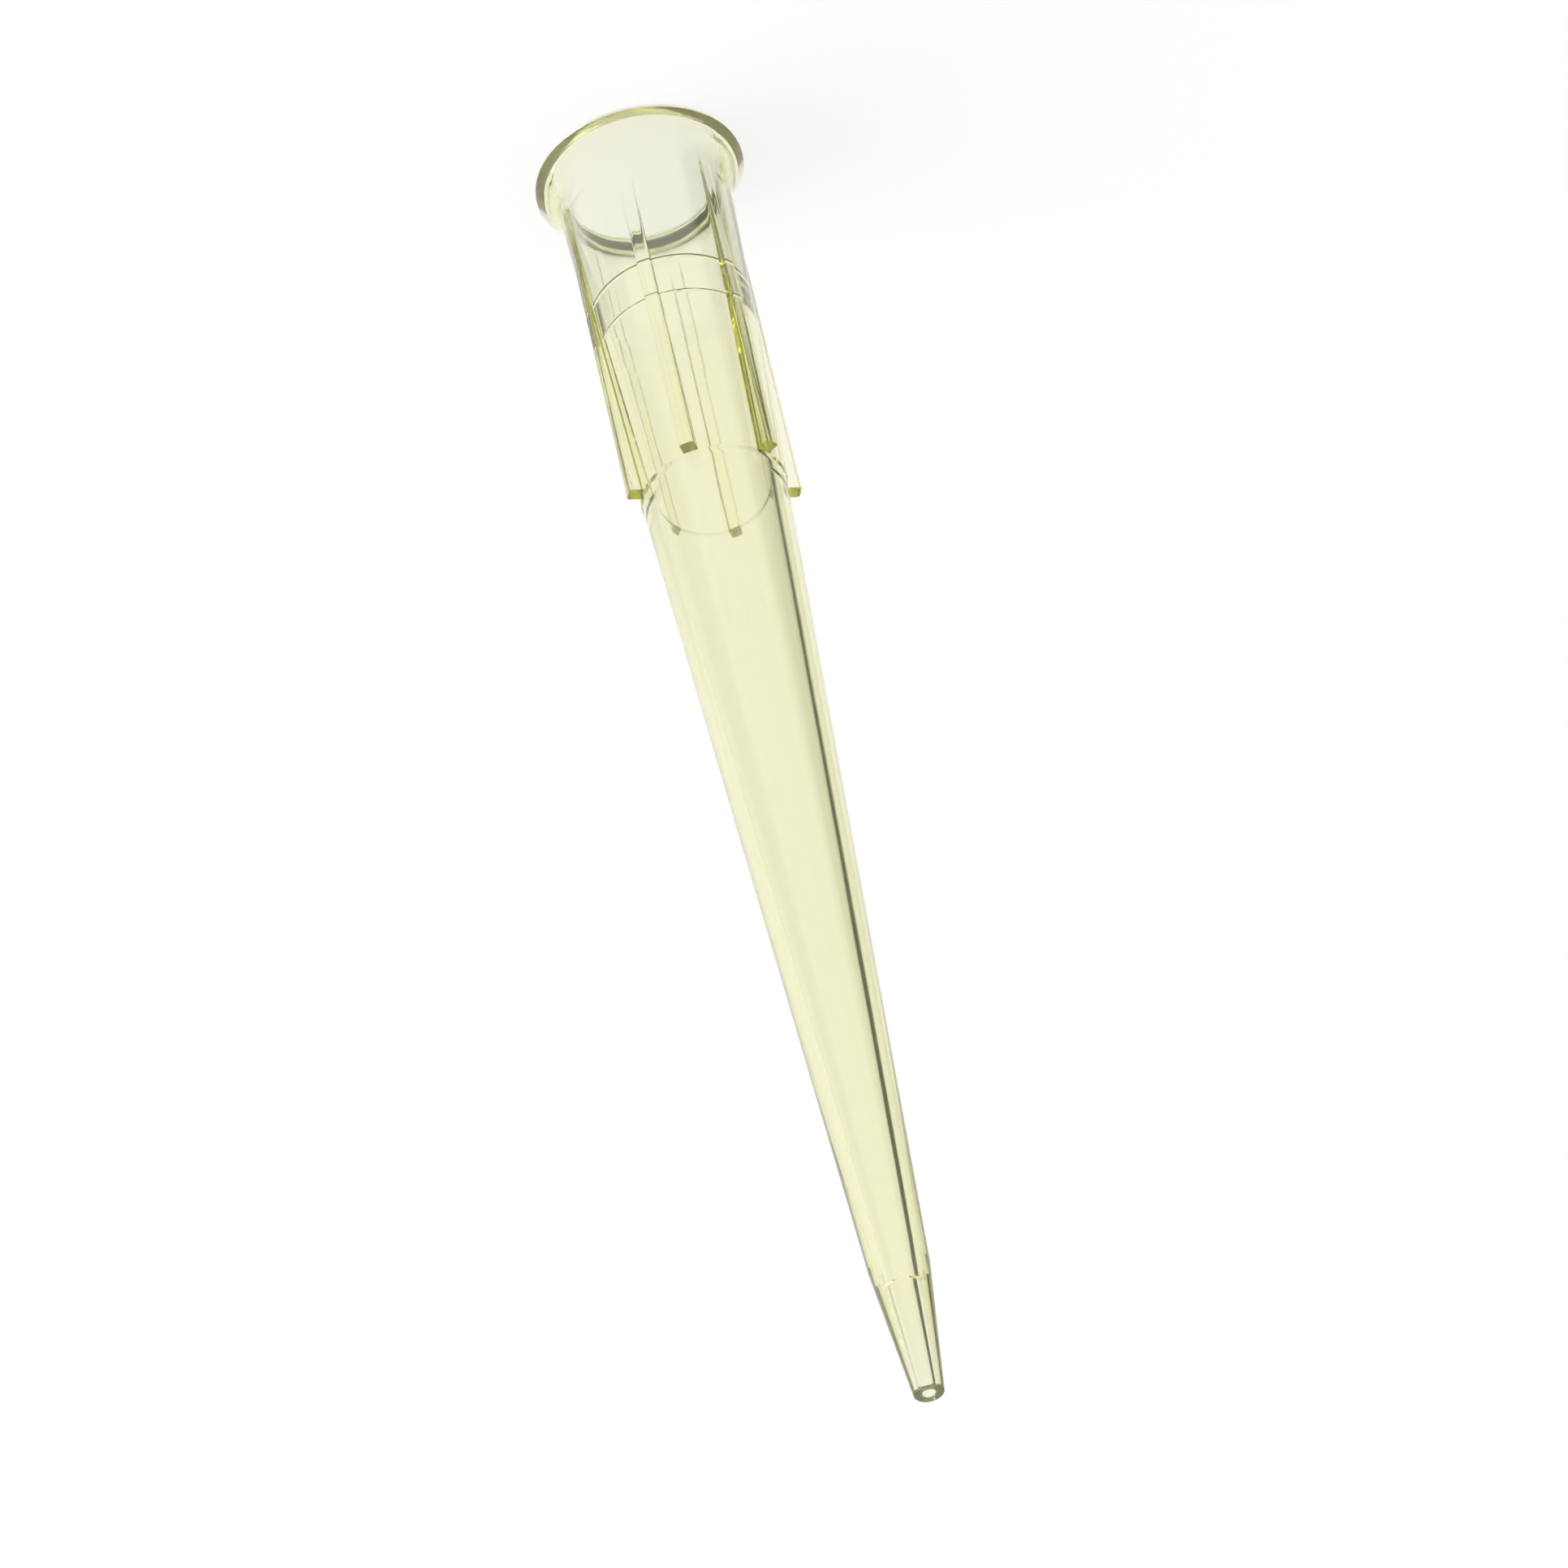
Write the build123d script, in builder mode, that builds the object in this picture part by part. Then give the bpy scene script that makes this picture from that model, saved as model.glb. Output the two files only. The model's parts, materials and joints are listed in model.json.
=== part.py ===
"""Pipette tip for 200 microlitres, moulded in one piece from polypropylene.

The tip stands on its mouth. The origin is the centre of the mouth's rim, and +Z runs up the
axis to the dispensing end. Sizes are in millimetres, and heights count from the rim.
"""
import os

from build123d import *

# Heights and lengths along the axis
tip_length = 50.0
flare_length = 1.1          # the trumpet between the rim and the hub
lead_in_length = 1.15       # the wide start of the bore, which guides the nozzle in
seat_height = 5.9           # where the sealing land starts
seat_length = 1.4
rib_end_height = 14.1       # where the hub ends and the long plain cone starts
point_height = 45.3         # where the outside turns steeper
throat_height = 46.05       # where the fine outlet starts inside
step_run = 0.04             # each small step is a short steep cone, so that the core pulls out

# Bore, counted from the land that seals on the pipette's nozzle
seat_diameter = 4.76
entry_step = 0.15           # steps in radius, below and above the land
neck_step = 0.11
entry_taper = 0.10          # how far the radius grows from the land to the lead-in
lead_in_depth = 0.37
throat_diameter = 0.68
throat_step = 0.08
orifice_diameter = 0.40

# Walls
rim_width = 0.63            # the ring that the tip stands on
hub_wall = 0.30
hub_step = 0.04             # the hub ends this much proud of the cone
cone_wall = 0.47
point_wall = 0.55
lip_wall = 0.28             # round the orifice

# Ribs, which sit in the rack's hole and stiffen the hub
rib_count = 6
rib_width = 0.50
rib_height = 0.52           # above the cone at the square upper end, falling to nothing at the flare
rib_root = 0.12             # how deep a rib is let into the wall
rib_rounding = 0.10

# Edges
flare_blend = 2.2
rim_rounding = 0.07
lip_rounding = 0.07
land_rounding = 0.10        # the edges of the land and the neck that the nozzle meets first

# Radii that follow from the sizes above
seat_radius = seat_diameter / 2
entry_end_radius = seat_radius + entry_step
entry_radius = entry_end_radius + entry_taper
mouth_radius = entry_radius + lead_in_depth
neck_radius = seat_radius - neck_step
throat_radius = throat_diameter / 2
throat_inlet_radius = throat_radius + throat_step
rim_radius = mouth_radius + rim_width
hub_radius = entry_radius + hub_wall
point_radius = throat_inlet_radius + point_wall
end_radius = orifice_diameter / 2 + lip_wall

# The long bore is one straight cone from the neck to the throat, and the hub ends over it
neck_height = seat_height + seat_length + step_run
inlet_height = throat_height - step_run
bore_slope = (neck_radius - throat_inlet_radius) / (inlet_height - neck_height)
shoulder_radius = neck_radius - bore_slope * (rib_end_height - neck_height) + cone_wall
hub_end_radius = shoulder_radius + hub_step

# One rib, straight along its outer side from the flare to the square end
with BuildPart() as rib:
    with BuildSketch(Plane.XZ):
        with BuildLine():
            Polyline(
                (hub_radius - rib_root, flare_length),
                (hub_radius, flare_length),
                (shoulder_radius + rib_height, rib_end_height),
                (shoulder_radius - rib_root, rib_end_height),
                close=True,
            )
        make_face()
    extrude(amount=rib_width / 2, both=True)
    outer_side = rib.faces().filter_by(Axis.Y, reverse=True).sort_by(Axis.X)[-1]
    fillet(outer_side.edges().filter_by(Axis.Y, reverse=True), radius=rib_rounding)

# The wall's section turned round the axis, with the ribs on the hub
with BuildPart() as pipette_tip:
    with BuildSketch(Plane.XZ) as section:
        with BuildLine():
            Polyline(
                (0, 0),
                (rim_radius, 0),
                (hub_radius, flare_length),
                (hub_end_radius, rib_end_height),
                (shoulder_radius, rib_end_height + step_run),
                (point_radius, point_height),
                (end_radius, tip_length),
                (0, tip_length),
                close=True,
            )
        make_face()
        with BuildLine():
            Polyline(
                (0, 0),
                (mouth_radius, 0),
                (entry_radius, lead_in_length),
                (entry_end_radius, seat_height - step_run),
                (seat_radius, seat_height),
                (seat_radius, seat_height + seat_length),
                (neck_radius, neck_height),
                (throat_inlet_radius, inlet_height),
                (throat_radius, throat_height),
                (orifice_diameter / 2, tip_length),
                (0, tip_length),
                close=True,
            )
        make_face(mode=Mode.SUBTRACT)
        corners = section.vertices().group_by(Axis.Y)
        fillet(corners[0], radius=rim_rounding)
        fillet(corners[-1], radius=lip_rounding)
        fillet(section.vertices().sort_by_distance((hub_radius, flare_length))[0], radius=flare_blend)
        for narrowing in ((seat_radius, seat_height), (neck_radius, neck_height)):
            fillet(section.vertices().sort_by_distance(narrowing)[0], radius=land_rounding)
    revolve(axis=Axis.Z)
    with PolarLocations(0, rib_count):
        add(rib.part)

pipette_tip.part.label = "pipette_tip"

os.makedirs("parts", exist_ok=True)
export_step(pipette_tip.part, "parts/pipette_tip.step")
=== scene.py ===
"""Looks of a pipette tip: its clear moulded wall, and the studio that it stands in.

The tip stands on its mouth with its point up, and its axis is Z. Sizes are in millimetres up to
the moment a mesh, lamp or camera is made, because the scene itself is in metres.
"""

import json
import logging
import math
from dataclasses import dataclass, field
from enum import Enum
from typing import Iterator, Mapping, Sequence, Union

import bmesh
import bpy
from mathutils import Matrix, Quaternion, Vector


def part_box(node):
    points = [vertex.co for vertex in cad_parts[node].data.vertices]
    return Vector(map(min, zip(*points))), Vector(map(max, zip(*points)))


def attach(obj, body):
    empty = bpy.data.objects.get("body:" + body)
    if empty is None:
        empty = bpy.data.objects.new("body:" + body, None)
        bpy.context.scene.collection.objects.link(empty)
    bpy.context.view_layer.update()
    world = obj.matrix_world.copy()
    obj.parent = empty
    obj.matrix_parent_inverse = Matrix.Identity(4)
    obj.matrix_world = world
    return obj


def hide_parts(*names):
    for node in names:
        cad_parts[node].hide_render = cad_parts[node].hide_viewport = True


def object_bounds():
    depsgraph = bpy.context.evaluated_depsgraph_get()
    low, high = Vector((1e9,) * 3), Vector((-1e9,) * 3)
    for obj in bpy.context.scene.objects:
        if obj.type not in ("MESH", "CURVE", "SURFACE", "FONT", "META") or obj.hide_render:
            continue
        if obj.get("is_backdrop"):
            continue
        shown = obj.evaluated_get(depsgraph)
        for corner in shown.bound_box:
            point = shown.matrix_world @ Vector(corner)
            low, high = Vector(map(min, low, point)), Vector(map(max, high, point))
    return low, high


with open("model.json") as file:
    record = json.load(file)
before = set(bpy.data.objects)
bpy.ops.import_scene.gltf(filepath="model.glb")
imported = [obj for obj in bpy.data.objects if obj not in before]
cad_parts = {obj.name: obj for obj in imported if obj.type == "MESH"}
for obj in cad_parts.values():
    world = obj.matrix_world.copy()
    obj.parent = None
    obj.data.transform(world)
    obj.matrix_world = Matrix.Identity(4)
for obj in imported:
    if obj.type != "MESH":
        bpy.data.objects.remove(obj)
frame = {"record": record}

MM = 0.001
TIP_NODE = "pipette_tip"
BODY = "root"
LOG = logging.getLogger("pipette_tip")

# A Mix node has a set of sockets for each kind of value, and these are its colours
COLOUR_A, COLOUR_B, COLOUR_RESULT = 6, 7, 2

# Light crosses the wall on both sides of the bore, and is mirrored inside it in between
LIGHT_BOUNCES = 24

NodeValue = Union[bpy.types.NodeSocket, float, int, tuple, str, None]


def linear(colour: str) -> tuple[float, float, float, float]:
    """Turns an sRGB hex colour into the linear one that shaders take.

    Args:
        colour: Six hex digits after a hash sign.

    Returns:
        Linear red, green, blue and an alpha of 1.
    """
    shares = [int(colour[at:at + 2], 16) / 255 for at in (1, 3, 5)]
    channels = [c / 12.92 if c <= 0.04045 else ((c + 0.055) / 1.055) ** 2.4 for c in shares]
    return (*channels, 1.0)


def add_node(
    tree: bpy.types.NodeTree,
    kind: str,
    inputs: Mapping[Union[str, int], NodeValue] | None = None,
    **settings: object,
) -> bpy.types.Node:
    """Adds a node with its settings and with what feeds its inputs.

    Args:
        tree: The tree that takes the node.
        kind: The node's type name in Blender.
        inputs: For an input's name or number, the socket that feeds it or its plain value.
        **settings: The node's own properties.

    Returns:
        The new node.
    """
    node = tree.nodes.new(kind)
    for name, value in settings.items():
        setattr(node, name, value)
    for key, value in (inputs or {}).items():
        if isinstance(value, bpy.types.NodeSocket):
            tree.links.new(value, node.inputs[key])
        else:
            node.inputs[key].default_value = value
    return node


def new_material(name: str) -> tuple[bpy.types.Material, bpy.types.NodeTree]:
    """Makes an empty node material.

    Args:
        name: The material's name.

    Returns:
        The material and its node tree.
    """
    material = bpy.data.materials.new(name)
    material.use_nodes = True
    material.node_tree.nodes.clear()
    return material, material.node_tree


class Row(Enum):
    """How one ring of points round the wall is laid."""

    PLAIN = 0
    RIBBED = 1


@dataclass(frozen=True)
class Corner:
    """A corner of the wall's section, and the stretch that follows it.

    Attributes:
        radius: Distance from the axis in millimetres.
        height: Height over the rim in millimetres.
        rounding: Radius of the rounded corner in millimetres.
        row: How the rings on the stretch after the corner are laid.
    """

    radius: float
    height: float
    rounding: float = 0.0
    row: Row = Row.PLAIN

    def place(self) -> Vector:
        """Returns the corner's place in the section's plane."""
        return Vector((self.radius, self.height))


@dataclass(frozen=True)
class TipSizes:
    """Sizes of the tip in millimetres, as the part's source has them, and its soft blends.

    Attributes:
        length: From the rim to the point.
        seat_radius: Radius of the land that seals on the pipette's nozzle.
        seat_height: Where the land starts.
        seat_length: How long the land is.
        rib_end_height: Where the ribs end square and the plain cone starts.
        flare_length: From the rim to the hub.
        lead_in_length: From the rim to where the wide start of the bore ends.
        point_height: Where the outside turns steeper.
        throat_height: Where the fine outlet starts.
        step_run: How long each small step of the bore is along the axis.
        entry_step: How far the land stands proud of the entry.
        neck_step: How far the long bore stands proud of the land.
        entry_taper: How far the entry widens towards the mouth.
        lead_in_depth: How far the lead-in widens towards the rim.
        throat_radius: Radius of the fine outlet where it starts.
        throat_step: How far it stands proud of the long bore.
        orifice_radius: Radius of the hole at the point.
        rim_width: Width of the ring that the tip stands on.
        hub_wall: Wall of the hub next to the flare.
        hub_step: How far the hub ends proud of the cone.
        cone_wall: Wall of the cone where it starts.
        point_wall: Wall of the cone where it ends.
        lip_wall: Wall round the orifice.
        rib_count: How many ribs there are.
        rib_width: Width of a rib.
        rib_height: How far a rib ends proud of the cone.
        rib_rounding: Radius along a rib's outer edges.
        flare_blend: Radius between the flare and the hub.
        rim_rounding: Radius of the rim's edges.
        lip_rounding: Radius of the lip's edges.
        land_rounding: Radius of the edges that the nozzle meets.
        step_rounding: Radius of the other edges of the steps.
        hub_step_run: How long the small step is that the hub ends with.
        hub_step_rounding: Radius at the foot of that step.
        lead_in_rounding: Radius between the lead-in and the entry.
        shoulder_rounding: Radius where the outside turns steeper.
    """

    length: float
    seat_radius: float
    seat_height: float
    seat_length: float
    rib_end_height: float
    flare_length: float = 1.1
    lead_in_length: float = 1.15
    point_height: float = 45.3
    throat_height: float = 46.05
    step_run: float = 0.04
    entry_step: float = 0.15
    neck_step: float = 0.11
    entry_taper: float = 0.10
    lead_in_depth: float = 0.37
    throat_radius: float = 0.34
    throat_step: float = 0.08
    orifice_radius: float = 0.20
    rim_width: float = 0.63
    hub_wall: float = 0.30
    hub_step: float = 0.04
    cone_wall: float = 0.47
    point_wall: float = 0.55
    lip_wall: float = 0.28
    rib_count: int = 6
    rib_width: float = 0.50
    rib_height: float = 0.52
    rib_rounding: float = 0.10
    flare_blend: float = 2.2
    rim_rounding: float = 0.07
    lip_rounding: float = 0.07
    land_rounding: float = 0.10
    step_rounding: float = 0.01
    hub_step_run: float = 0.16
    hub_step_rounding: float = 0.5
    lead_in_rounding: float = 3.2
    shoulder_rounding: float = 1.0

    @classmethod
    def from_frame(cls, record: Mapping) -> "TipSizes":
        """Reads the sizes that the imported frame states.

        Args:
            record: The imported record, with the tip's mounts.

        Returns:
            The tip's sizes.
        """
        low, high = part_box(TIP_NODE)
        mounts = {mount["name"]: mount for mount in record["mounts"]}
        seat = mounts["pipette_seat"]
        seat_length = seat["dims"]["length_mm"]
        return cls(
            length=(high.z - low.z) / MM,
            seat_radius=seat["dims"]["r_mm"],
            seat_height=seat["pos_m"][2] / MM - seat_length / 2,
            seat_length=seat_length,
            rib_end_height=mounts["rack_seat"]["pos_m"][2] / MM,
        )

    @property
    def entry_end_radius(self) -> float:
        """Radius of the bore just below the land."""
        return self.seat_radius + self.entry_step

    @property
    def entry_radius(self) -> float:
        """Radius of the bore where the lead-in ends."""
        return self.entry_end_radius + self.entry_taper

    @property
    def mouth_radius(self) -> float:
        """Radius of the open mouth."""
        return self.entry_radius + self.lead_in_depth

    @property
    def hub_radius(self) -> float:
        """Outer radius of the hub next to the flare."""
        return self.entry_radius + self.hub_wall

    @property
    def neck_radius(self) -> float:
        """Radius of the bore just above the land."""
        return self.seat_radius - self.neck_step

    @property
    def neck_height(self) -> float:
        """Height where the long bore starts."""
        return self.seat_height + self.seat_length + self.step_run

    @property
    def inlet_height(self) -> float:
        """Height where the long bore ends."""
        return self.throat_height - self.step_run

    @property
    def inlet_radius(self) -> float:
        """Radius of the long bore at its end."""
        return self.throat_radius + self.throat_step

    @property
    def shoulder_radius(self) -> float:
        """Outer radius of the cone where the ribs end, one wall outside the long bore."""
        slope = (self.neck_radius - self.inlet_radius) / (self.inlet_height - self.neck_height)
        return self.neck_radius - slope * (self.rib_end_height - self.neck_height) + self.cone_wall

    @property
    def hub_end_radius(self) -> float:
        """Outer radius of the hub where it ends, a small step proud of the cone."""
        return self.shoulder_radius + self.hub_step


@dataclass(frozen=True)
class WallSection:
    """The closed section of the wall, which is turned round the axis.

    Attributes:
        sizes: The tip's sizes.
        row_spacing: The longest step between two rings of points, in millimetres.
        guard: How far the rings beside a corner stand from it, so that its shading stays local.
        guard_share: The most of a short stretch that a guard ring takes.
        arc_step: The most that a rounded corner turns from one ring to the next, in radians.
        straight_below: The turn under which a corner needs no arc, in radians.
        flare_run: Over what height the rings' points even out below the ribs, in millimetres.
        cone_run: Over what height they even out past the ribs' ends.
    """

    sizes: TipSizes
    row_spacing: float = 0.9
    guard: float = 0.03
    guard_share: float = 0.25
    arc_step: float = math.radians(9)
    straight_below: float = math.radians(2.25)
    flare_run: float = 0.6
    cone_run: float = 2.4

    def corners(self) -> list[Corner]:
        """Lists the section's corners, up the outside and down the bore.

        Returns:
            The corners in order, from the outer edge of the rim to the inner one.
        """
        s = self.sizes
        lead, step, land = s.lead_in_rounding, s.step_rounding, s.land_rounding
        return [
            Corner(s.mouth_radius + s.rim_width, 0, s.rim_rounding),
            Corner(s.hub_radius, s.flare_length, s.flare_blend, Row.RIBBED),
            Corner(s.hub_end_radius, s.rib_end_height),
            Corner(s.shoulder_radius, s.rib_end_height + s.hub_step_run, s.hub_step_rounding),
            Corner(s.inlet_radius + s.point_wall, s.point_height, s.shoulder_rounding),
            Corner(s.orifice_radius + s.lip_wall, s.length, s.lip_rounding),
            Corner(s.orifice_radius, s.length, s.lip_rounding),
            Corner(s.throat_radius, s.throat_height, step),
            Corner(s.inlet_radius, s.inlet_height, step),
            Corner(s.neck_radius, s.neck_height, land),
            Corner(s.seat_radius, s.seat_height + s.seat_length, step),
            Corner(s.seat_radius, s.seat_height, land),
            Corner(s.entry_end_radius, s.seat_height - s.step_run, step),
            Corner(s.entry_radius, s.lead_in_length, lead),
            Corner(s.mouth_radius, 0, s.rim_rounding),
        ]

    def arc(self, before: Vector, corner: Corner, after: Vector) -> list[Vector]:
        """Rounds one corner.

        Args:
            before: The corner before it.
            corner: The corner to round.
            after: The corner after it.

        Returns:
            The arc's points, or the corner alone where it stays sharp.
        """
        at = corner.place()
        into, away = (at - before).normalized(), (after - at).normalized()
        turn = into.angle_signed(away)
        if not corner.rounding or abs(turn) < self.straight_below:
            return [at]
        reach = corner.rounding * math.tan(abs(turn) / 2)
        start = at - into * reach
        inward = Vector((into.y, -into.x)) * math.copysign(corner.rounding, turn)
        centre = start + inward
        steps = max(2, math.ceil(abs(turn) / self.arc_step))
        x, y = -inward.x, -inward.y
        points = []
        for index in range(steps + 1):
            spin = -turn * index / steps
            cosine, sine = math.cos(spin), math.sin(spin)
            points.append(centre + Vector((x * cosine - y * sine, x * sine + y * cosine)))
        return points

    def straight(self, start: Vector, end: Vector) -> Iterator[Vector]:
        """Divides a straight stretch, with a guard ring beside each of its ends.

        Args:
            start: Where the stretch starts.
            end: Where it ends.

        Yields:
            The points between the two.
        """
        length = (end - start).length
        guard = min(self.guard, length * self.guard_share)
        count = max(1, math.ceil((length - 2 * guard) / self.row_spacing))
        for index in range(count + 1):
            share = (guard + (length - 2 * guard) * index / count) / length
            yield start.lerp(end, share)

    def rings(self) -> list[tuple[Vector, Row]]:
        """Lays out every ring of points of the wall.

        Returns:
            The place of each ring in the section's plane, and how it is laid.
        """
        corners = self.corners()
        places = [corner.place() for corner in corners]
        count = len(corners)
        arcs = [self.arc(places[at - 1], corners[at], places[(at + 1) % count]) for at in range(count)]
        rings = []
        for at, corner in enumerate(corners):
            follows = arcs[(at + 1) % count][0]
            if corners[at - 1].row is Row.RIBBED:
                rings += [(place, Row.RIBBED) for place in arcs[at]]
            rings += [(place, corner.row) for place in arcs[at]]
            rings += [(place, corner.row) for place in self.straight(arcs[at][-1], follows)]
        return rings

    def spread(self, place: Vector, on_bore: bool) -> float:
        """Says how evenly the points of a plain ring are spaced round the axis.

        Args:
            place: The ring's place in the section's plane.
            on_bore: Whether the ring is on the bore, which has no ribs.

        Returns:
            0 where the points line up with the ribs' sides, and 1 where they are even.
        """
        s = self.sizes
        past_end = (place.y - s.rib_end_height) / self.cone_run
        before_flare = (s.flare_length - place.y) / self.flare_run
        return 1.0 if on_bore else min(1.0, max(past_end, before_flare, 0.0))

    def build(self) -> bpy.types.Object:
        """Makes the section as a closed loop of edges that carries each ring's numbers.

        Returns:
            The loop, which the turning tree makes a wall of.
        """
        rings = self.rings()
        mesh = bpy.data.meshes.new("tip_wall")
        edges = [(at, (at + 1) % len(rings)) for at in range(len(rings))]
        mesh.from_pydata([(place.x * MM, 0, place.y * MM) for place, _ in rings], edges, [])
        top = max(range(len(rings)), key=lambda at: rings[at][0].y)
        numbers = {
            "row_radius": [place.x * MM for place, _ in rings],
            "row_height": [place.y * MM for place, _ in rings],
            "row_ribbed": [float(row.value) for _, row in rings],
            "row_spread": [self.spread(ring[0], at > top) for at, ring in enumerate(rings)],
        }
        for name, values in numbers.items():
            mesh.attributes.new(name, "FLOAT", "POINT").data.foreach_set("value", values)
        wall = bpy.data.objects.new("tip_wall", mesh)
        bpy.context.scene.collection.objects.link(wall)
        return wall


# How a point of the wall is placed, one value a line: its name, the operation and what it takes.
# Round the axis, each rib takes a foot, its rounded top and a second foot, and then comes a gap.
TURNING_RULE: tuple[tuple, ...] = (
    ("top_last", "MULTIPLY_ADD", "corner_steps", 2, "flat_steps"),
    ("feet_last", "ADD", "top_last", 2),
    ("period", "ADD", "feet_last", "gap_steps"),
    ("place", "MODULO", "column", "period"),
    ("turns", "DIVIDE", "column", "period"),
    ("rib_number", "FLOOR", "turns"),
    ("pitch", "DIVIDE", math.tau, "rib_count"),
    ("bearing", "MULTIPLY", "rib_number", "pitch"),
    # The step along the rib's top, counted from its nearer side
    ("past_foot", "SUBTRACT", "place", 1),
    ("from_start", "MAXIMUM", "past_foot", 0),
    ("step", "MINIMUM", "from_start", "top_last"),
    ("mirror_step", "SUBTRACT", "top_last", "step"),
    ("from_side", "MINIMUM", "step", "mirror_step"),
    ("side_order", "SUBTRACT", "step", "mirror_step"),
    ("side", "SIGN", "side_order"),
    # Across the rib: the rounded corner first, and then the flat top
    ("corner_walk", "DIVIDE", "from_side", "corner_steps"),
    ("corner_share", "MINIMUM", "corner_walk", 1),
    ("corner_turn", "MULTIPLY", "corner_share", math.pi / 2),
    ("corner_cosine", "COSINE", "corner_turn"),
    ("corner_sine", "SINE", "corner_turn"),
    ("past_corner", "SUBTRACT", "from_side", "corner_steps"),
    ("flat_walk", "MAXIMUM", "past_corner", 0),
    ("half_flat_steps", "MULTIPLY", "flat_steps", 0.5),
    ("flat_share", "DIVIDE", "flat_walk", "half_flat_steps"),
    ("flat_left", "SUBTRACT", 1, "flat_share"),
    ("half_width", "MULTIPLY", "rib_width", 0.5),
    ("half_flat", "SUBTRACT", "half_width", "rib_rounding"),
    ("flat_across", "MULTIPLY", "half_flat", "flat_left"),
    ("distance_across", "MULTIPLY_ADD", "rib_rounding", "corner_cosine", "flat_across"),
    ("across", "MULTIPLY", "distance_across", "side"),
    ("corner_rise", "MULTIPLY", "rib_rounding", "corner_sine"),
    ("drop", "SUBTRACT", "rib_rounding", "corner_rise"),
    # The angle of a point that lines up with the ribs
    ("across_sine", "DIVIDE", "across", "hub_end_radius"),
    ("rib_angle", "ARCSINE", "across_sine"),
    ("side_sine", "DIVIDE", "half_width", "hub_end_radius"),
    ("side_angle", "ARCSINE", "side_sine"),
    ("side_to_side", "MULTIPLY", "side_angle", 2),
    ("gap_span", "SUBTRACT", "pitch", "side_to_side"),
    ("gap_walk", "SUBTRACT", "place", "feet_last"),
    ("gap_share", "DIVIDE", "gap_walk", "gap_steps"),
    ("gap_angle", "MULTIPLY_ADD", "gap_share", "gap_span", "side_angle"),
    ("in_gap", "GREATER_THAN", "gap_walk", 0.5),
    ("to_gap", "SUBTRACT", "gap_angle", "rib_angle"),
    ("lined_up", "MULTIPLY_ADD", "to_gap", "in_gap", "rib_angle"),
    # The angle of a point of an even ring
    ("gap_slots", "MULTIPLY", "gap_walk", "in_gap"),
    ("slot", "ADD", "step", "gap_slots"),
    ("half_top", "MULTIPLY", "top_last", 0.5),
    ("slot_from_rib", "SUBTRACT", "slot", "half_top"),
    ("slot_count", "ADD", "top_last", "gap_steps"),
    ("slot_share", "DIVIDE", "slot_from_rib", "slot_count"),
    ("even", "MULTIPLY", "slot_share", "pitch"),
    ("to_even", "SUBTRACT", "even", "lined_up"),
    ("angle", "MULTIPLY_ADD", "row_spread", "to_even", "lined_up"),
    ("angle_cosine", "COSINE", "angle"),
    ("angle_sine", "SINE", "angle"),
    ("plain_x", "MULTIPLY", "row_radius", "angle_cosine"),
    ("plain_y", "MULTIPLY", "row_radius", "angle_sine"),
    # The depth of a point of the rib, which stands on the hub or over it
    ("radius_squared", "MULTIPLY", "row_radius", "row_radius"),
    ("across_squared", "MULTIPLY", "across", "across"),
    ("hub_squared", "SUBTRACT", "radius_squared", "across_squared"),
    ("hub_depth", "SQRT", "hub_squared"),
    ("rise", "SUBTRACT", "row_height", "foot_height"),
    ("run", "SUBTRACT", "end_height", "foot_height"),
    ("rise_share", "DIVIDE", "rise", "run"),
    ("growth", "SUBTRACT", "end_radius", "foot_radius"),
    ("crest", "MULTIPLY_ADD", "rise_share", "growth", "foot_radius"),
    ("crest_depth", "SUBTRACT", "crest", "drop"),
    ("top_depth", "MAXIMUM", "hub_depth", "crest_depth"),
    ("middle", "MULTIPLY", "feet_last", 0.5),
    ("top_reach", "SUBTRACT", "middle", 0.5),
    ("on_top", "COMPARE", "place", "middle", "top_reach"),
    ("lift", "SUBTRACT", "top_depth", "hub_depth"),
    ("depth", "MULTIPLY_ADD", "on_top", "lift", "hub_depth"),
    # Where the point lies, seen from its own rib
    ("on_rib", "SUBTRACT", 1, "in_gap"),
    ("ribbed", "MULTIPLY", "row_ribbed", "on_rib"),
    ("x_change", "SUBTRACT", "depth", "plain_x"),
    ("y_change", "SUBTRACT", "across", "plain_y"),
    ("x", "MULTIPLY_ADD", "ribbed", "x_change", "plain_x"),
    ("y", "MULTIPLY_ADD", "ribbed", "y_change", "plain_y"),
)


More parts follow.
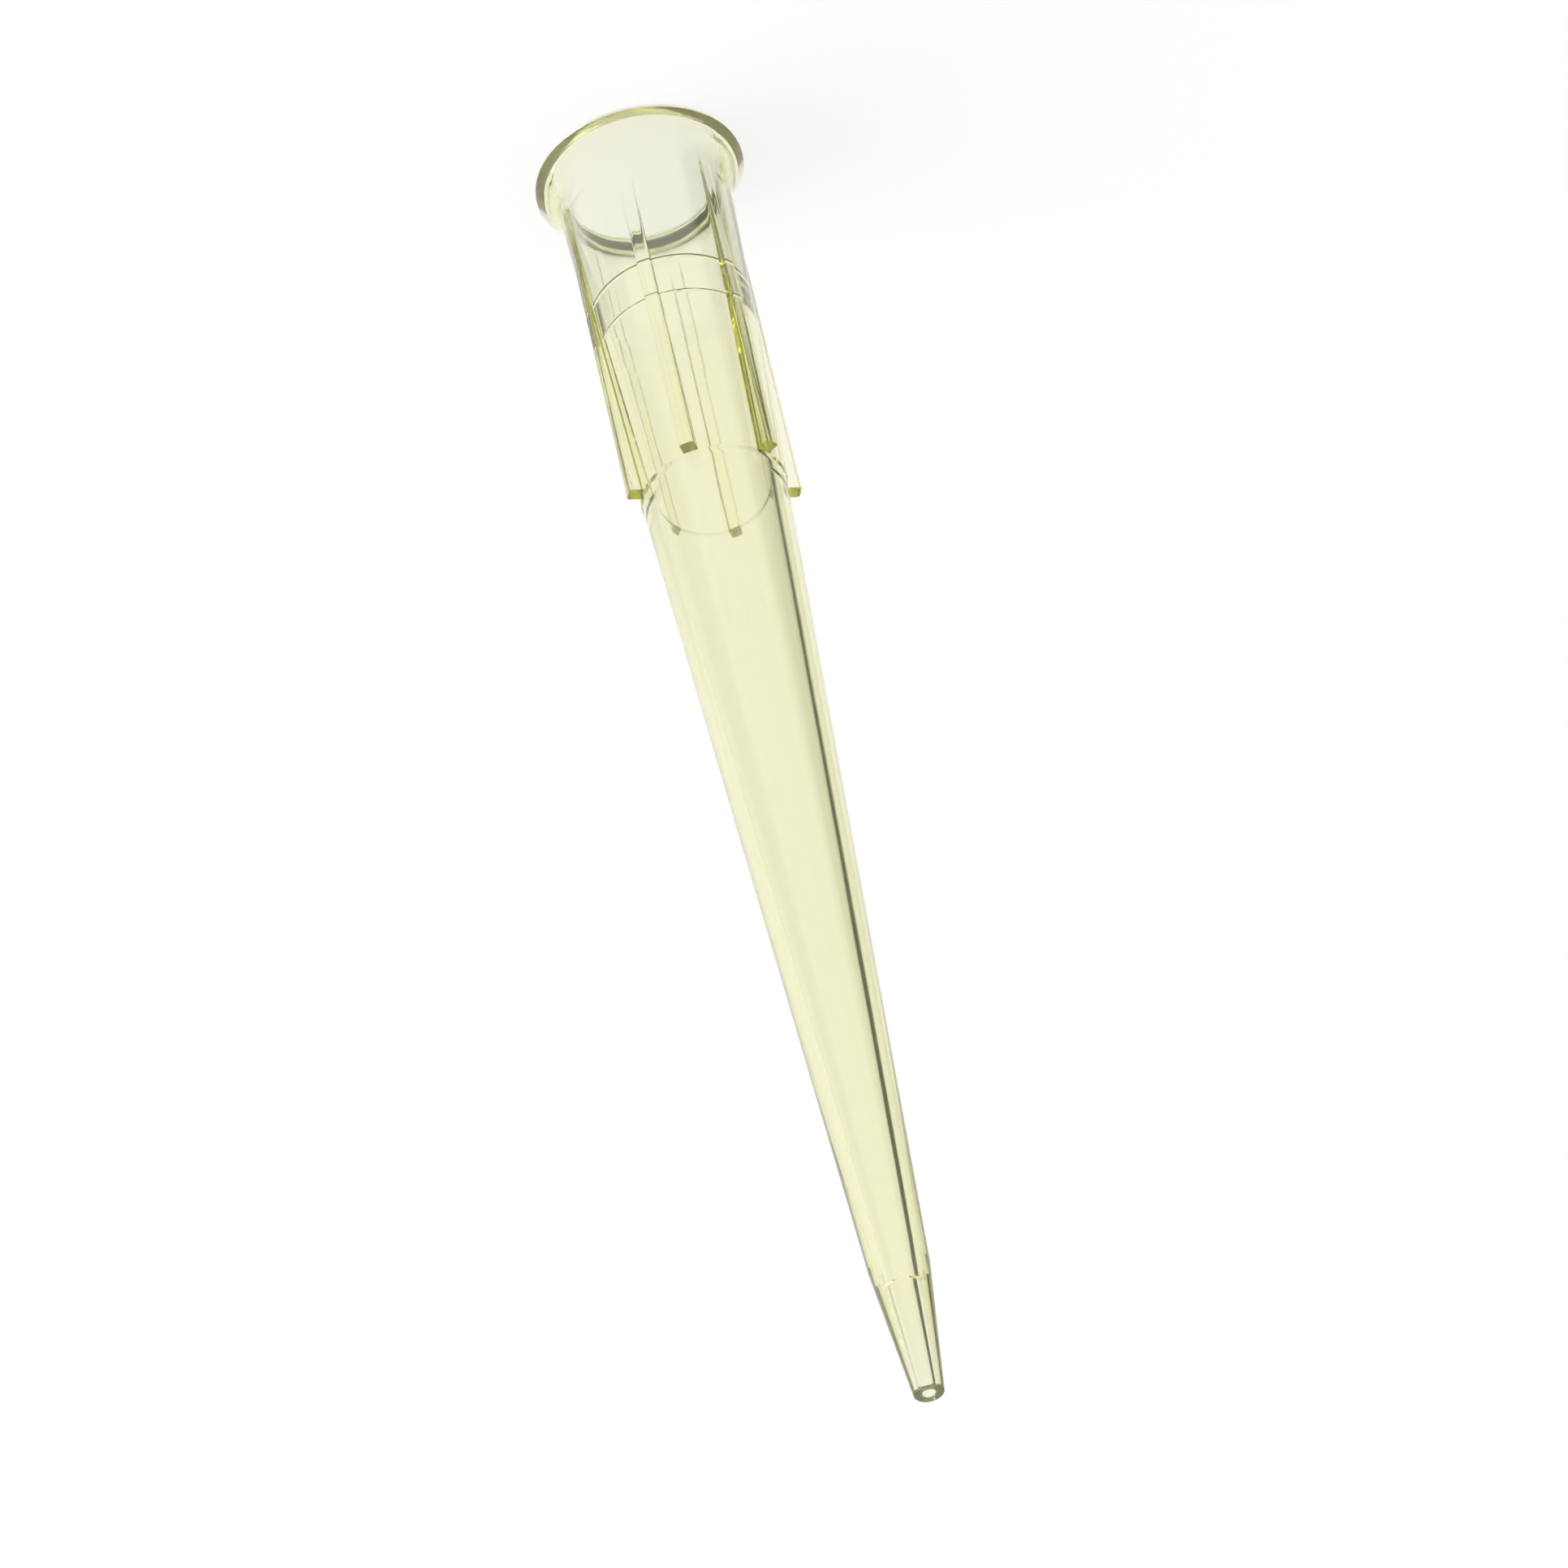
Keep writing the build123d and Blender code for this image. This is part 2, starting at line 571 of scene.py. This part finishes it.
@dataclass(frozen=True)
class TurningTree:
    """The node tree that turns the section round the axis and raises the ribs on its hub.

    Attributes:
        sharp_from: The angle between two faces from which their edge is sharp, in radians.
        weld: Points nearer to each other than this are one, in millimetres.
    """

    sharp_from: float = math.radians(32)
    weld: float = 0.0006

    def inputs(self) -> dict[str, str]:
        """Returns each named input of the tree with its socket's kind."""
        counts = ("rib_count", "corner_steps", "flat_steps", "gap_steps")
        lengths = (
            "rib_width", "rib_rounding", "hub_end_radius",
            "foot_height", "foot_radius", "end_height", "end_radius",
        )
        kinds = {name: "NodeSocketInt" for name in counts}
        kinds.update({name: "NodeSocketFloat" for name in lengths})
        return kinds

    def build(self) -> bpy.types.NodeTree:
        """Makes the tree.

        Returns:
            The tree, with one input for each size and one for the finish.
        """
        tree = bpy.data.node_groups.new("turned_wall", "GeometryNodeTree")
        tree.interface.new_socket("Geometry", in_out="INPUT", socket_type="NodeSocketGeometry")
        for name, kind in self.inputs().items():
            tree.interface.new_socket(name, in_out="INPUT", socket_type=kind)
        tree.interface.new_socket("finish", in_out="INPUT", socket_type="NodeSocketMaterial")
        tree.interface.new_socket("Geometry", in_out="OUTPUT", socket_type="NodeSocketGeometry")
        given = add_node(tree, "NodeGroupInput").outputs
        values: dict[str, bpy.types.NodeSocket] = {name: given[name] for name in self.inputs()}
        for name in ("column", "row_radius", "row_height", "row_ribbed", "row_spread"):
            read = add_node(tree, "GeometryNodeInputNamedAttribute", {"Name": name}, data_type="FLOAT")
            values[name] = read.outputs["Attribute"]
        self.wire(tree, values)
        skin = self.skin(tree, given["Geometry"], values)
        self.finish(tree, skin, given["finish"])
        return tree

    def wire(self, tree: bpy.types.NodeTree, values: dict[str, bpy.types.NodeSocket]) -> None:
        """Adds one math node for each line of the turning rule.

        Args:
            tree: The tree.
            values: The values by name, which the new ones join.
        """
        for name, operation, *takes in TURNING_RULE:
            fed = {at: values[take] if isinstance(take, str) else take for at, take in enumerate(takes)}
            values[name] = add_node(tree, "ShaderNodeMath", fed, operation=operation).outputs[0]

    def skin(
        self,
        tree: bpy.types.NodeTree,
        section: bpy.types.NodeSocket,
        values: Mapping[str, bpy.types.NodeSocket],
    ) -> bpy.types.NodeSocket:
        """Sweeps the section round a ring and puts every point in its place.

        Args:
            tree: The tree.
            section: The section's loop of edges.
            values: The values of the turning rule.

        Returns:
            The wall's closed skin.
        """
        count = add_node(
            tree,
            "ShaderNodeMath",
            {0: values["period"], 1: values["rib_count"]},
            operation="MULTIPLY",
        )
        ring = add_node(tree, "GeometryNodeCurvePrimitiveCircle", {"Resolution": count.outputs[0]})
        index = add_node(tree, "GeometryNodeInputIndex")
        numbered = add_node(
            tree,
            "GeometryNodeStoreNamedAttribute",
            {"Geometry": ring.outputs["Curve"], "Name": "column", "Value": index.outputs[0]},
            data_type="FLOAT",
            domain="POINT",
        )
        profile = add_node(tree, "GeometryNodeMeshToCurve", {"Mesh": section})
        swept = add_node(
            tree,
            "GeometryNodeCurveToMesh",
            {"Curve": numbered.outputs["Geometry"], "Profile Curve": profile.outputs["Curve"]},
        )
        beside = add_node(
            tree, "ShaderNodeCombineXYZ", {"X": values["x"], "Y": values["y"], "Z": values["row_height"]}
        )
        turned = add_node(
            tree,
            "ShaderNodeVectorRotate",
            {"Vector": beside.outputs[0], "Angle": values["bearing"]},
            rotation_type="Z_AXIS",
        )
        placed = add_node(
            tree,
            "GeometryNodeSetPosition",
            {"Geometry": swept.outputs["Mesh"], "Position": turned.outputs[0]},
        )
        welded = add_node(
            tree,
            "GeometryNodeMergeByDistance",
            {"Geometry": placed.outputs["Geometry"], "Distance": self.weld * MM},
        )
        return welded.outputs["Geometry"]

    def finish(
        self, tree: bpy.types.NodeTree, skin: bpy.types.NodeSocket, material: bpy.types.NodeSocket
    ) -> None:
        """Shades the skin, drops the numbers that it was laid out with and gives it its finish.

        Args:
            tree: The tree.
            skin: The wall's closed skin.
            material: The finish.
        """
        bend = add_node(tree, "GeometryNodeInputMeshEdgeAngle")
        sharp = add_node(
            tree,
            "ShaderNodeMath",
            {0: bend.outputs["Unsigned Angle"], 1: self.sharp_from},
            operation="GREATER_THAN",
        )
        smooth = add_node(
            tree, "GeometryNodeSetShadeSmooth", {"Geometry": skin, "Shade Smooth": True}, domain="FACE"
        )
        edged = add_node(
            tree,
            "GeometryNodeSetShadeSmooth",
            {"Geometry": smooth.outputs[0], "Selection": sharp.outputs[0], "Shade Smooth": False},
            domain="EDGE",
        )
        bare = edged.outputs[0]
        for pattern in ("row_*", "column"):
            bare = add_node(
                tree,
                "GeometryNodeRemoveAttribute",
                {"Geometry": bare, "Name": pattern},
                pattern_mode="WILDCARD",
            ).outputs["Geometry"]
        real = add_node(tree, "GeometryNodeRealizeInstances", {"Geometry": bare})
        dressed = add_node(
            tree, "GeometryNodeSetMaterial", {"Geometry": real.outputs["Geometry"], "Material": material}
        )
        add_node(tree, "NodeGroupOutput", {"Geometry": dressed.outputs["Geometry"]})


@dataclass(frozen=True)
class MouldedPolypropylene:
    """Polypropylene tinted a pale yellow, injection moulded against a polished core.

    The wall is clear enough to look through, so its form shows in how it bends what is behind
    it. The tint is all through the plastic, and a wall seen edge on is olive where one seen face
    on is a pale lemon. Flow in the mould leaves faint lengthwise ripples and a light haze.

    Attributes:
        surface: What one crossing of the surface leaves of white light.
        clearness: The share of light that goes through, where the rest is scattered.
        depth_tint: What the plastic lets through best.
        tint_per_mm: How much of the rest each millimetre takes.
        ior: That of polypropylene.
        polish: Roughness of the clearest places.
        haze: Roughness of the haziest places.
        clear_at: The height of a ripple up to which the plastic is clearest, from 0 to 1.
        hazy_at: The height from which it is haziest.
        ripple_mm: Distance between two ripples round the wall.
        ripple_length_mm: How far a ripple runs along the wall.
        ripple_depth_mm: How deep a ripple is.
        seed: What sets where the ripples lie.
    """

    surface: str = "#FDFDF6"
    clearness: float = 0.955
    depth_tint: str = "#F6F6AA"
    tint_per_mm: float = 0.50
    ior: float = 1.49
    polish: float = 0.02
    haze: float = 0.09
    clear_at: float = 0.35
    hazy_at: float = 0.75
    ripple_mm: float = 0.9
    ripple_length_mm: float = 7.0
    ripple_depth_mm: float = 0.005
    seed: float = 3.0

    def build(self) -> bpy.types.Material:
        """Makes the material.

        Returns:
            The material, which reads the tip's own coordinates.
        """
        material, tree = new_material("moulded_polypropylene")
        here = add_node(tree, "ShaderNodeTexCoord").outputs["Object"]
        across, along = 1 / (self.ripple_mm * MM), 1 / (self.ripple_length_mm * MM)
        drawn_out = add_node(tree, "ShaderNodeMapping", {"Vector": here, "Scale": (across, across, along)})
        ripple = add_node(
            tree,
            "ShaderNodeTexNoise",
            {"Vector": drawn_out.outputs[0], "W": self.seed, "Scale": 1.0, "Detail": 2.0, "Roughness": 0.5},
            noise_dimensions="4D",
        )
        haze = add_node(
            tree,
            "ShaderNodeMapRange",
            {
                "Value": ripple.outputs[0],
                "From Min": self.clear_at,
                "From Max": self.hazy_at,
                "To Min": self.polish,
                "To Max": self.haze,
            },
        )
        bump = add_node(
            tree,
            "ShaderNodeBump",
            {"Height": ripple.outputs[0], "Strength": 1.0, "Distance": self.ripple_depth_mm * MM},
        )
        plastic = add_node(
            tree,
            "ShaderNodeBsdfPrincipled",
            {
                "Base Color": linear(self.surface),
                "Roughness": haze.outputs[0],
                "IOR": self.ior,
                "Transmission Weight": self.clearness,
                "Normal": bump.outputs[0],
            },
        )
        inside = add_node(
            tree,
            "ShaderNodeVolumeAbsorption",
            {"Color": linear(self.depth_tint), "Density": self.tint_per_mm / MM},
        )
        add_node(
            tree,
            "ShaderNodeOutputMaterial",
            {"Surface": plastic.outputs[0], "Volume": inside.outputs[0]},
        )
        return material


@dataclass
class PipetteTip:
    """The tip, moulded in one piece.

    Attributes:
        sizes: The tip's sizes.
        finish: What it is made of.
        corner_steps: Faces on each rounded corner of a rib.
        flat_steps: Faces across a rib's flat top, an even number.
        gap_steps: Faces from one rib to the next.
    """

    sizes: TipSizes
    finish: MouldedPolypropylene = field(default_factory=MouldedPolypropylene)
    corner_steps: int = 4
    flat_steps: int = 4
    gap_steps: int = 20

    def build(self) -> bpy.types.Object:
        """Makes the tip, dresses it and sets it on the frame.

        Returns:
            The finished tip.
        """
        section = WallSection(self.sizes).build()
        tip = self.turned(section)
        self.close(tip)
        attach(tip, BODY)
        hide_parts(TIP_NODE)
        return tip

    def turned(self, section: bpy.types.Object) -> bpy.types.Object:
        """Runs the turning tree on the section and keeps the plain mesh.

        Args:
            section: The section's loop of edges, which is removed.

        Returns:
            The wall as a plain mesh.
        """
        s = self.sizes
        tree = TurningTree().build()
        turning = section.modifiers.new("turning", "NODES")
        turning.node_group = tree
        given: dict[str, object] = {
            "rib_count": s.rib_count,
            "corner_steps": self.corner_steps,
            "flat_steps": self.flat_steps,
            "gap_steps": self.gap_steps,
            "rib_width": s.rib_width * MM,
            "rib_rounding": s.rib_rounding * MM,
            "hub_end_radius": s.hub_end_radius * MM,
            "foot_height": s.flare_length * MM,
            "foot_radius": s.hub_radius * MM,
            "end_height": s.rib_end_height * MM,
            "end_radius": (s.shoulder_radius + s.rib_height) * MM,
            "finish": self.finish.build(),
        }
        for socket in tree.interface.items_tree:
            if socket.in_out == "INPUT" and socket.name in given:
                turning[socket.identifier] = given[socket.name]
        graph = bpy.context.evaluated_depsgraph_get()
        mesh = bpy.data.meshes.new_from_object(section.evaluated_get(graph))
        mesh.name = "moulded_tip"
        bpy.data.objects.remove(section)
        tip = bpy.data.objects.new("moulded_tip", mesh)
        bpy.context.scene.collection.objects.link(tip)
        return tip

    def close(self, tip: bpy.types.Object) -> None:
        """Turns the faces outwards and reports on the skin.

        Args:
            tip: The tip's mesh object.
        """
        shape = bmesh.new()
        shape.from_mesh(tip.data)
        bmesh.ops.recalc_face_normals(shape, faces=shape.faces)
        if shape.calc_volume(signed=True) < 0:
            bmesh.ops.reverse_faces(shape, faces=shape.faces)
        open_edges = sum(not edge.is_manifold for edge in shape.edges)
        volume = shape.calc_volume() / MM ** 3
        triangles = len(shape.calc_loop_triangles())
        shape.to_mesh(tip.data)
        shape.free()
        LOG.info("%s: %d triangles, %.1f mm3, %d open edges", tip.name, triangles, volume, open_edges)


@dataclass(frozen=True)
class StudioPaper:
    """Smooth white paper under the tip, which shows a faint shadow beside it.

    Light that the tip has mirrored passes through it, to what surrounds the studio.

    Attributes:
        colour: The paper's own colour.
        glow: How much of it shows as plain white right beside the tip.
        fade_from_mm: Distance from the tip's axis where the shadow starts to fade.
        fade_to_mm: Distance beyond which it is plain white, so that the paper ends nowhere.
    """

    colour: str = "#F7F7F5"
    glow: float = 0.75
    fade_from_mm: float = 4.0
    fade_to_mm: float = 40.0

    def build(self) -> bpy.types.Material:
        """Makes the material.

        Returns:
            The material.
        """
        material, tree = new_material("studio_paper")
        paper = add_node(tree, "ShaderNodeBsdfDiffuse", {"Color": linear(self.colour)})
        white = add_node(tree, "ShaderNodeEmission", {"Color": (1, 1, 1, 1), "Strength": 1.0})
        here = add_node(tree, "ShaderNodeTexCoord").outputs["Object"]
        distance = add_node(tree, "ShaderNodeVectorMath", {0: here}, operation="LENGTH")
        fade = {"From Min": self.fade_from_mm * MM, "From Max": self.fade_to_mm * MM, "To Min": self.glow}
        whiteness = add_node(
            tree,
            "ShaderNodeMapRange",
            {"Value": distance.outputs["Value"], **fade},
            interpolation_type="SMOOTHSTEP",
        )
        share = add_node(
            tree,
            "ShaderNodeMath",
            {0: seen_by_eye(tree), 1: whiteness.outputs[0]},
            operation="MULTIPLY",
        )
        mixed = add_node(
            tree,
            "ShaderNodeMixShader",
            {"Fac": share.outputs[0], 1: paper.outputs[0], 2: white.outputs[0]},
        )
        clear = add_node(tree, "ShaderNodeBsdfTransparent")
        laid = add_node(
            tree,
            "ShaderNodeMixShader",
            {"Fac": mirrored(tree), 1: mixed.outputs[0], 2: clear.outputs[0]},
        )
        add_node(tree, "ShaderNodeOutputMaterial", {"Surface": laid.outputs[0]})
        return material


def seen_by_eye(tree: bpy.types.NodeTree) -> bpy.types.NodeSocket:
    """Adds the test for light that reaches the camera straight, by a mirror or through glass.

    Args:
        tree: The tree that takes the test.

    Returns:
        A value of 1 for such light, and 0 for light that only brightens other things.
    """
    path = add_node(tree, "ShaderNodeLightPath").outputs
    either = add_node(
        tree, "ShaderNodeMath", {0: path["Is Camera Ray"], 1: path["Is Glossy Ray"]}, operation="MAXIMUM"
    )
    return add_node(
        tree, "ShaderNodeMath", {0: either.outputs[0], 1: path["Is Transmission Ray"]}, operation="MAXIMUM"
    ).outputs[0]


@dataclass(frozen=True)
class DimSide:
    """A dim part of the room, which only light mirrored by the tip looks into.

    It gives clear plastic its dark lines, as a black card beside glassware does.

    Attributes:
        azimuth_deg: The bearing of its middle, counted as the camera's is.
        elevation_deg: The height of its middle over the horizon.
        reach_deg: How far from its middle it is fully dim.
        fade_deg: Over how much more it fades out.
        depth: How dim it is, from 0 to 1.
    """

    azimuth_deg: float
    elevation_deg: float
    reach_deg: float
    fade_deg: float
    depth: float = 1.0

    def add(self, tree: bpy.types.NodeTree, direction: bpy.types.NodeSocket) -> bpy.types.NodeSocket:
        """Adds the nodes that say how dim a direction is.

        Args:
            tree: The surrounding's tree.
            direction: The direction that light comes from.

        Returns:
            A value from 0 to the side's depth.
        """
        middle = bearing(self.azimuth_deg, self.elevation_deg)
        nearness = add_node(
            tree, "ShaderNodeVectorMath", {0: direction, 1: tuple(middle)}, operation="DOT_PRODUCT"
        )
        edges = {
            "From Min": math.cos(math.radians(self.reach_deg + self.fade_deg)),
            "From Max": math.cos(math.radians(self.reach_deg)),
            "To Max": self.depth,
        }
        return add_node(
            tree,
            "ShaderNodeMapRange",
            {"Value": nearness.outputs["Value"], **edges},
            interpolation_type="SMOOTHSTEP",
        ).outputs[0]


def mirrored(tree: bpy.types.NodeTree) -> bpy.types.NodeSocket:
    """Adds the test for light that the tip has mirrored at least once.

    Args:
        tree: The tree that takes the test.

    Returns:
        A value of 1 for such light.
    """
    path = add_node(tree, "ShaderNodeLightPath").outputs
    return add_node(
        tree, "ShaderNodeMath", {0: path["Glossy Depth"], 1: 0.5}, operation="GREATER_THAN"
    ).outputs[0]


@dataclass(frozen=True)
class Studio:
    """White paper, an even white surrounding and one large soft lamp.

    Attributes:
        paper_mm: Width of the paper.
        paper_gap_mm: How far the paper lies under the rim, so that the two don't share a plane.
        surround: Strength of the surrounding on the tip and the paper.
        lamp_mm: Width of the soft lamp.
        lamp_distance_mm: How far it stands from the tip.
        lamp_azimuth_deg: Its bearing, counted as the camera's is.
        lamp_elevation_deg: How high it stands.
        lamp_power: Its power in watts.
        dim_colour: The colour of the dim parts of the room.
        dim_sides: Where they are.
    """

    paper_mm: float = 4000.0
    paper_gap_mm: float = 0.02
    surround: float = 0.8
    lamp_mm: float = 500.0
    lamp_distance_mm: float = 700.0
    lamp_azimuth_deg: float = 110.0
    lamp_elevation_deg: float = 50.0
    lamp_power: float = 2.5
    dim_colour: str = "#3A3F2C"
    dim_sides: tuple[DimSide, ...] = (
        # These three draw the dark crescent where the lead-in ends
        DimSide(0, -90, 28, 14),
        DimSide(150, -60, 16, 10),
        DimSide(270, -62, 14, 10),
        # This one draws the line along the bore's right side
        DimSide(284, -34, 22, 10),
        # These two are slight: one shades the crescent and the lip, the other the rim's far side
        DimSide(205, -12, 10, 8, 0.95),
        DimSide(180, 56, 14, 14, 0.4),
    )

    def build(self, low: Vector) -> None:
        """Makes the paper, the surrounding and the lamp.

        Args:
            low: The lowest corner of the tip's box.
        """
        self.paper(low.z)
        self.surrounding()
        self.lamp()

    def paper(self, floor: float) -> None:
        """Lays the paper.

        Args:
            floor: The height of the tip's rim in metres.
        """
        half, height = self.paper_mm / 2 * MM, floor - self.paper_gap_mm * MM
        corners = [(x * half, y * half, height) for x, y in ((-1, -1), (1, -1), (1, 1), (-1, 1))]
        mesh = bpy.data.meshes.new("paper")
        mesh.from_pydata(corners, [], [(0, 1, 2, 3)])
        mesh.materials.append(StudioPaper().build())
        paper = bpy.data.objects.new("paper", mesh)
        bpy.context.scene.collection.objects.link(paper)
        paper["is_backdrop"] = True

    def surrounding(self) -> None:
        """Makes the world an even white, plain white where it is seen."""
        world = bpy.data.worlds.new("surrounding")
        world.use_nodes = True
        tree = world.node_tree
        tree.nodes.clear()
        strength = add_node(
            tree,
            "ShaderNodeMapRange",
            {"Value": seen_by_eye(tree), "To Min": self.surround, "To Max": 1.0},
        )
        direction = add_node(tree, "ShaderNodeTexCoord").outputs["Generated"]
        total: bpy.types.NodeSocket | float = 0.0
        for side in self.dim_sides:
            total = add_node(
                tree, "ShaderNodeMath", {0: side.add(tree, direction), 1: total}, operation="MAXIMUM"
            ).outputs[0]
        dimness = add_node(tree, "ShaderNodeMath", {0: mirrored(tree), 1: total}, operation="MULTIPLY")
        colour = add_node(
            tree,
            "ShaderNodeMix",
            {"Factor": dimness.outputs[0], COLOUR_A: (1, 1, 1, 1), COLOUR_B: linear(self.dim_colour)},
            data_type="RGBA",
        )
        even = add_node(
            tree,
            "ShaderNodeBackground",
            {"Color": colour.outputs[COLOUR_RESULT], "Strength": strength.outputs[0]},
        )
        add_node(tree, "ShaderNodeOutputWorld", {"Surface": even.outputs[0]})
        bpy.context.scene.world = world

    def lamp(self) -> None:
        """Hangs the soft lamp, which faces the tip."""
        light = bpy.data.lights.new("soft_lamp", "AREA")
        light.size = self.lamp_mm * MM
        light.energy = self.lamp_power
        lamp = bpy.data.objects.new("soft_lamp", light)
        bpy.context.scene.collection.objects.link(lamp)
        towards = bearing(self.lamp_azimuth_deg, self.lamp_elevation_deg)
        lamp.location = towards * self.lamp_distance_mm * MM
        lamp.rotation_mode = "QUATERNION"
        lamp.rotation_quaternion = (-towards).to_track_quat("-Z", "Y")


def bearing(azimuth_deg: float, elevation_deg: float) -> Vector:
    """Gives the direction from the tip to something that looks at it.

    Args:
        azimuth_deg: 0 is in front, on -Y, and 90 on +X.
        elevation_deg: The angle over the horizon.

    Returns:
        A direction of length 1.
    """
    azimuth, elevation = math.radians(azimuth_deg), math.radians(elevation_deg)
    level = math.cos(elevation)
    return Vector((math.sin(azimuth) * level, -math.cos(azimuth) * level, math.sin(elevation)))


@dataclass(frozen=True)
class TipCamera:
    """The camera, which looks down past the point with the mouth at the top of the picture.

    Attributes:
        azimuth_deg: Its bearing from the tip.
        elevation_deg: Its height over the horizon.
        distance_mm: From the point that it looks at.
        aim_share: The height of that point, as a share of the tip's length.
        roll_deg: How far it is turned round its line of sight.
        lens_mm: Its focal length.
        sensor_mm: The width of its sensor.
        clip_share: What is nearer than this share of the distance isn't shown.
    """

    azimuth_deg: float = 19.65
    elevation_deg: float = 36.76
    distance_mm: float = 268.8
    aim_share: float = 0.5266
    roll_deg: float = 166.6
    lens_mm: float = 193.3
    sensor_mm: float = 36.0
    clip_share: float = 0.02

    def build(self, low: Vector, high: Vector) -> None:
        """Makes the camera.

        Args:
            low: The lowest corner of the tip's box.
            high: The highest corner.
        """
        data = bpy.data.cameras.new("camera")
        data.lens, data.sensor_width = self.lens_mm, self.sensor_mm
        data.clip_start = self.distance_mm * MM * self.clip_share
        camera = bpy.data.objects.new("camera", data)
        bpy.context.scene.collection.objects.link(camera)
        away = bearing(self.azimuth_deg, self.elevation_deg)
        aim = Vector((0, 0, low.z + (high.z - low.z) * self.aim_share))
        camera.location = aim + away * self.distance_mm * MM
        upright = (-away).to_track_quat("-Z", "Y")
        camera.rotation_mode = "QUATERNION"
        camera.rotation_quaternion = upright @ Quaternion((0, 0, 1), math.radians(self.roll_deg))
        bpy.context.scene.camera = camera


def main() -> None:
    """Builds the tip, its studio and its camera."""
    logging.basicConfig(level=logging.INFO, format="%(name)s: %(message)s")
    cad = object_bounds()
    tip = PipetteTip(TipSizes.from_frame(frame["record"])).build()
    LOG.info("built %s", tip.name)
    Studio().build(cad[0])
    TipCamera().build(*cad)
    bpy.context.scene.view_settings.view_transform = "Standard"
    cycles = bpy.context.scene.cycles
    cycles.max_bounces = cycles.transmission_bounces = cycles.glossy_bounces = LIGHT_BOUNCES


if __name__ == "__main__":
    main()
